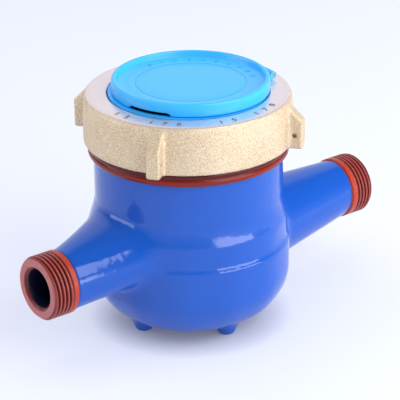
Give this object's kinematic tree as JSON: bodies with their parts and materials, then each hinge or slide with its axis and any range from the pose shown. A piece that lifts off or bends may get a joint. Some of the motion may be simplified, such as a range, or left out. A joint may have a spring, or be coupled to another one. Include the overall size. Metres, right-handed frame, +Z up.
{
  "type": "water meter",
  "caption": "Multi-jet vane-wheel water meter: blue cast body with threaded pipe ends, brass ring nut, hinged light blue lid over a pointer register.",
  "frame": {"origin": "on the floor under the middle of the pipe length", "axes": "+Z up along the meter axis, +X along the pipe toward the inlet"},
  "size_m": [0.17, 0.0858, 0.106],
  "materials": {
    "blue_enamel": "gloss",
    "cast_brass": "cast",
    "blue_plastic": "gloss",
    "steel": "satin",
    "clear_glass": "polished",
    "black_rubber": "matte",
    "grey_plastic": "matte",
    "white_plastic": "satin",
    "yellow_plastic": "satin",
    "magnet": "matte",
    "dial_print": "printed",
    "red_plastic": "gloss",
    "black_plastic": "gloss"
  },
  "bodies": {
    "housing": {"body": "blue_enamel", "ring_nut": "cast_brass", "slip_washer": "white_plastic", "lid_bezel": "blue_plastic", "hinge_pin": "steel", "glass": "clear_glass", "glass_gasket": "black_rubber", "pressure_plate": "grey_plastic", "plate_seal": "black_rubber", "measuring_chamber": "white_plastic", "chamber_cover": "white_plastic", "bowl_strainer": "white_plastic", "inlet_strainer": "white_plastic", "pivot_pin": "steel", "register_cup": "white_plastic", "base_plate": "yellow_plastic", "plate_pillars": "steel", "top_plate": "yellow_plastic", "dial_plate": "dial_print"},
    "lid": {"lid": "blue_plastic"},
    "impeller": {"impeller": "yellow_plastic", "drive_magnet": "magnet"},
    "follower": {"follower_arbor": "white_plastic", "follower_magnet": "magnet", "star_wheel": "red_plastic"},
    "first_idler": {"first_idler": "white_plastic"},
    "pointer_1": {"pointer_gear_1": "white_plastic", "pointer_1": "red_plastic"},
    "idler_1": {"idler_1": "white_plastic"},
    "pointer_2": {"pointer_gear_2": "white_plastic", "pointer_2": "red_plastic"},
    "idler_2": {"idler_2": "white_plastic"},
    "pointer_3": {"pointer_gear_3": "white_plastic", "pointer_3": "red_plastic"},
    "idler_3": {"idler_3": "white_plastic"},
    "pointer_4": {"pointer_gear_4": "white_plastic", "pointer_4": "red_plastic"},
    "idler_4": {"idler_4": "white_plastic"},
    "pointer_5": {"pointer_gear_5": "white_plastic", "pointer_5": "black_plastic"},
    "idler_5": {"idler_5": "white_plastic"},
    "pointer_6": {"pointer_gear_6": "white_plastic", "pointer_6": "black_plastic"}
  },
  "joints": [
    {"name": "lid_hinge", "type": "hinge", "parent": "housing", "child": "lid", "pos_m": [0.02741, -0.0031, 0.1022], "axis": [0.0872, 0.9962, 0], "range_deg": [0, 110]},
    {"name": "impeller_spin", "type": "hinge", "parent": "housing", "child": "impeller", "pos_m": [-0.008, 0, 0.08], "axis": [0, 0, 1], "continuous": true},
    {"name": "follower_spin", "type": "hinge", "parent": "housing", "child": "follower", "pos_m": [-0.008, 0, 0.08], "axis": [0, 0, 1], "continuous": true},
    {"name": "first_idler_spin", "type": "hinge", "parent": "housing", "child": "first_idler", "pos_m": [-0.00611, -0.00886, 0.08], "axis": [0, 0, 1], "continuous": true},
    {"name": "pointer_1_spin", "type": "hinge", "parent": "housing", "child": "pointer_1", "pos_m": [-0.00118, -0.01646, 0.08], "axis": [0, 0, 1], "continuous": true},
    {"name": "idler_1_spin", "type": "hinge", "parent": "housing", "child": "idler_1", "pos_m": [0.00756, -0.01542, 0.08], "axis": [0, 0, 1], "continuous": true},
    {"name": "pointer_2_spin", "type": "hinge", "parent": "housing", "child": "pointer_2", "pos_m": [0.00846, -0.00682, 0.08], "axis": [0, 0, 1], "continuous": true},
    {"name": "idler_2_spin", "type": "hinge", "parent": "housing", "child": "idler_2", "pos_m": [0.01391, 0.0001, 0.08], "axis": [0, 0, 1], "continuous": true},
    {"name": "pointer_3_spin", "type": "hinge", "parent": "housing", "child": "pointer_3", "pos_m": [0.00846, 0.00682, 0.08], "axis": [0, 0, 1], "continuous": true},
    {"name": "idler_3_spin", "type": "hinge", "parent": "housing", "child": "idler_3", "pos_m": [0.00742, 0.01556, 0.08], "axis": [0, 0, 1], "continuous": true},
    {"name": "pointer_4_spin", "type": "hinge", "parent": "housing", "child": "pointer_4", "pos_m": [-0.00118, 0.01646, 0.08], "axis": [0, 0, 1], "continuous": true},
    {"name": "idler_4_spin", "type": "hinge", "parent": "housing", "child": "idler_4", "pos_m": [-0.0081, 0.02191, 0.08], "axis": [0, 0, 1], "continuous": true},
    {"name": "pointer_5_spin", "type": "hinge", "parent": "housing", "child": "pointer_5", "pos_m": [-0.01482, 0.01646, 0.08], "axis": [0, 0, 1], "continuous": true},
    {"name": "idler_5_spin", "type": "hinge", "parent": "housing", "child": "idler_5", "pos_m": [-0.02356, 0.01542, 0.08], "axis": [0, 0, 1], "continuous": true},
    {"name": "pointer_6_spin", "type": "hinge", "parent": "housing", "child": "pointer_6", "pos_m": [-0.02446, 0.00682, 0.08], "axis": [0, 0, 1], "continuous": true}
  ],
  "couplings": [
    {"joint": "follower_spin", "follows": "impeller_spin", "ratio": 1},
    {"joint": "first_idler_spin", "follows": "impeller_spin", "ratio": -0.2},
    {"joint": "pointer_1_spin", "follows": "impeller_spin", "ratio": 0.04},
    {"joint": "idler_1_spin", "follows": "impeller_spin", "ratio": -0.0125},
    {"joint": "pointer_2_spin", "follows": "impeller_spin", "ratio": 0.004},
    {"joint": "idler_2_spin", "follows": "impeller_spin", "ratio": -0.00125},
    {"joint": "pointer_3_spin", "follows": "impeller_spin", "ratio": 0.0004},
    {"joint": "idler_3_spin", "follows": "impeller_spin", "ratio": -0.000125},
    {"joint": "pointer_4_spin", "follows": "impeller_spin", "ratio": 0.00004},
    {"joint": "idler_4_spin", "follows": "impeller_spin", "ratio": -0.0000125},
    {"joint": "pointer_5_spin", "follows": "impeller_spin", "ratio": 0.000004},
    {"joint": "idler_5_spin", "follows": "impeller_spin", "ratio": -0.00000125},
    {"joint": "pointer_6_spin", "follows": "impeller_spin", "ratio": 0.0000004}
  ]
}
